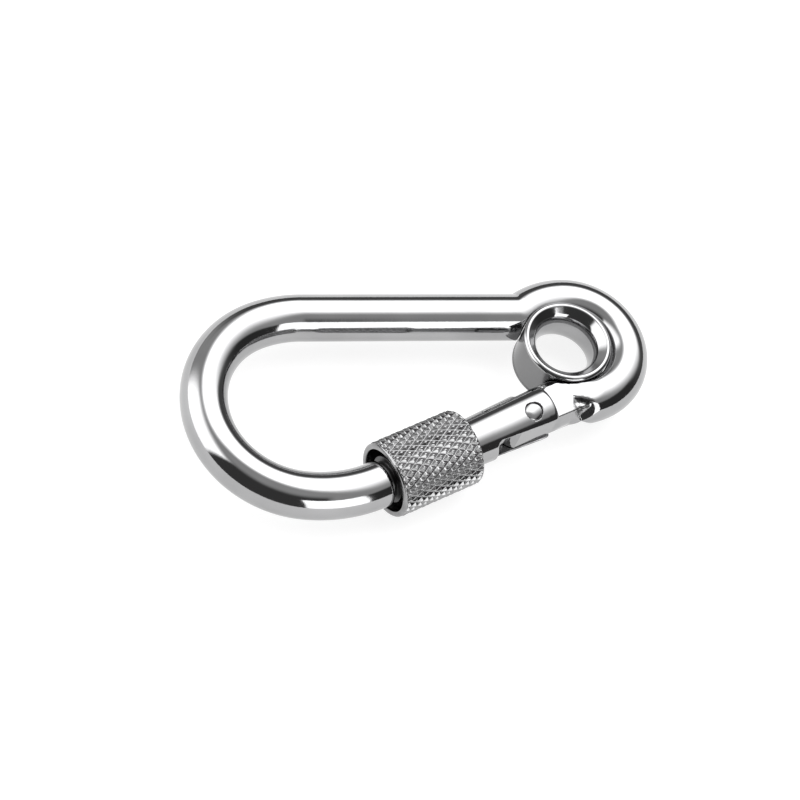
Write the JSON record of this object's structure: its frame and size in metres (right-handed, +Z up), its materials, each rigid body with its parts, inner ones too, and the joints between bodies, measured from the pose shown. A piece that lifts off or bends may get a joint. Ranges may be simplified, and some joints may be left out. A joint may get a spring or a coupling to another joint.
{
  "type": "screw-lock spring hook",
  "caption": "Pear-shaped spring hook: bent round bar with a thimble eyelet, a sprung gate on a rivet and a knurled lock nut that covers the gate's joint.",
  "frame": {"origin": "on the surface the hook lies on, under the middle of its bounding box", "axes": "+X along the spine from the bend to the eye, +Y from the gate to the spine, +Z up out of the hook's plane"},
  "size_m": [0.0798, 0.0432, 0.0127],
  "materials": {
    "polished_steel": "mirror-polished stainless bar",
    "eyelet_steel": "polished, flared by pressing",
    "gate_steel": "polished along its length",
    "pin_steel": "ground flush",
    "spring_wire": "drawn wire",
    "turned_steel": "turned",
    "knurled_steel": "diamond knurl, bead-bright"
  },
  "bodies": {
    "hook": {"hook_body": "polished_steel", "eyelet": "eyelet_steel"},
    "gate": {"gate": "gate_steel", "pivot_pin": "pin_steel", "gate_spring": "spring_wire"},
    "plunger": {"plunger": "turned_steel"},
    "nut": {"lock_nut": "knurled_steel"}
  },
  "joints": [
    {"name": "gate_hinge", "type": "hinge", "parent": "hook", "child": "gate", "pos_m": [0.01705, -0.0051, 0.00635], "axis": [0, 0, -1], "range_deg": [0, 36], "stiffness_Nm_per_rad": 0.03, "springref_deg": -28.65},
    {"name": "plunger_slide", "type": "slide", "parent": "gate", "child": "plunger", "axis": [-0.9198, -0.3923, 0], "range_m": [0, 0.0013], "deforming": ["gate_spring"]},
    {"name": "nut_slide", "type": "slide", "parent": "gate", "child": "nut", "axis": [0.9198, 0.3923, 0], "range_m": [-0.0045, 0.004]}
  ],
  "couplings": [
    {"joint": "plunger_slide", "follows": "gate_hinge", "m_per_rad": 0.002}
  ]
}
